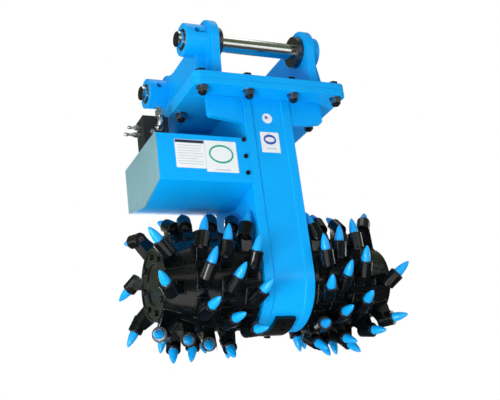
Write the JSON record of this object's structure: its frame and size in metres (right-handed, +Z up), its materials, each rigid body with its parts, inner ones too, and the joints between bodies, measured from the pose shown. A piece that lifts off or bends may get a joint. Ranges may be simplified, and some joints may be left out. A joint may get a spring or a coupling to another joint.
{
  "type": "excavator drum cutter",
  "caption": "Pin-on drum cutter for an excavator: two pick drums on a cross shaft under a gear leg, with a guarded hydraulic motor and a bolted bracket.",
  "frame": {"origin": "middle of the front pin's axis between the two ears", "axes": "+X along the pins to the right, +Y to the back, +Z up, the leg hanging down along -Z"},
  "size_m": [0.9652, 0.6368, 1.238],
  "materials": {
    "blue_paint": "gloss paint",
    "pale_paint": "satin paint",
    "pin_chrome": "polished",
    "bush_steel": "oiled",
    "zinc_steel": "zinc plated",
    "black_steel": "blackened",
    "black_paint": "gloss paint",
    "pick_paint": "gloss paint",
    "motor_paint": "painted casting",
    "gear_steel": "ground",
    "cast_carrier": "machined casting",
    "bearing_bronze": "machined",
    "seal_rubber": "matte"
  },
  "bodies": {
    "frame": {"bracket_plate": "blue_paint", "left_ear": "blue_paint", "right_ear": "blue_paint", "front_bushes": "bush_steel", "rear_bushes": "bush_steel", "frame_flange": "blue_paint", "head_plates": "blue_paint", "flange_bolts": "black_steel", "flange_nuts": "zinc_steel", "flange_washers": "bush_steel", "gear_case_band": "blue_paint", "left_case_plate": "blue_paint", "right_case_plate": "blue_paint", "wear_shoe": "black_paint", "shoe_bolts": "black_steel", "motor_guard": "blue_paint", "guard_end_plate": "pale_paint", "guard_brackets": "blue_paint", "guard_bolts": "black_steel", "motor_housing": "motor_paint", "motor_end_cap": "motor_paint", "motor_bolts": "black_steel", "pinion_bearings": "bearing_bronze", "pinion_seal": "seal_rubber", "idler_pin": "gear_steel", "idler_spacers": "gear_steel", "bearing_carriers": "cast_carrier", "carrier_bolts": "black_steel", "bearing_outer_rings": "gear_steel", "shaft_seals": "seal_rubber", "manifold_block": "black_paint", "manifold_bolts": "black_steel", "port_fittings": "zinc_steel", "elbow_fitting": "zinc_steel", "block_plugs": "zinc_steel"},
    "drums": {"drum_gear": "gear_steel", "drum_gear_key": "gear_steel", "drum_shaft": "gear_steel", "bearing_inner_rings": "gear_steel", "bearing_rollers": "gear_steel", "left_drum": "black_paint", "right_drum": "black_paint", "drum_keys": "gear_steel", "shaft_end_plates": "gear_steel", "shaft_end_bolts": "black_steel", "left_pick_holders": "black_paint", "right_pick_holders": "black_paint", "left_picks": "pick_paint", "right_picks": "pick_paint", "drum_covers": "black_paint", "cover_bolts": "black_steel"},
    "motor_rotor": {"motor_rotor": "gear_steel", "motor_shaft": "gear_steel", "pinion": "gear_steel", "pinion_key": "gear_steel"},
    "idler": {"idler_gear": "gear_steel", "idler_bush": "bearing_bronze"},
    "front_pin": {"front_pin": "pin_chrome"},
    "rear_pin": {"rear_pin": "pin_chrome"}
  },
  "joints": [
    {"name": "drum_spin", "type": "hinge", "parent": "frame", "child": "drums", "pos_m": [0, 0.15, -0.888], "axis": [1, 0, 0], "continuous": true},
    {"name": "idler_spin", "type": "hinge", "parent": "frame", "child": "idler", "pos_m": [0, 0.15, -0.652], "axis": [1, 0, 0], "continuous": true},
    {"name": "motor_spin", "type": "hinge", "parent": "frame", "child": "motor_rotor", "pos_m": [0, 0.15, -0.488], "axis": [1, 0, 0], "continuous": true},
    {"name": "front_pin_slide", "type": "slide", "parent": "frame", "child": "front_pin", "axis": [-1, 0, 0], "range_m": [0, 0.62]},
    {"name": "rear_pin_slide", "type": "slide", "parent": "frame", "child": "rear_pin", "axis": [-1, 0, 0], "range_m": [0, 0.62]}
  ],
  "couplings": [
    {"joint": "idler_spin", "follows": "drum_spin", "ratio": -1.4583},
    {"joint": "motor_spin", "follows": "drum_spin", "ratio": 2.0588}
  ]
}
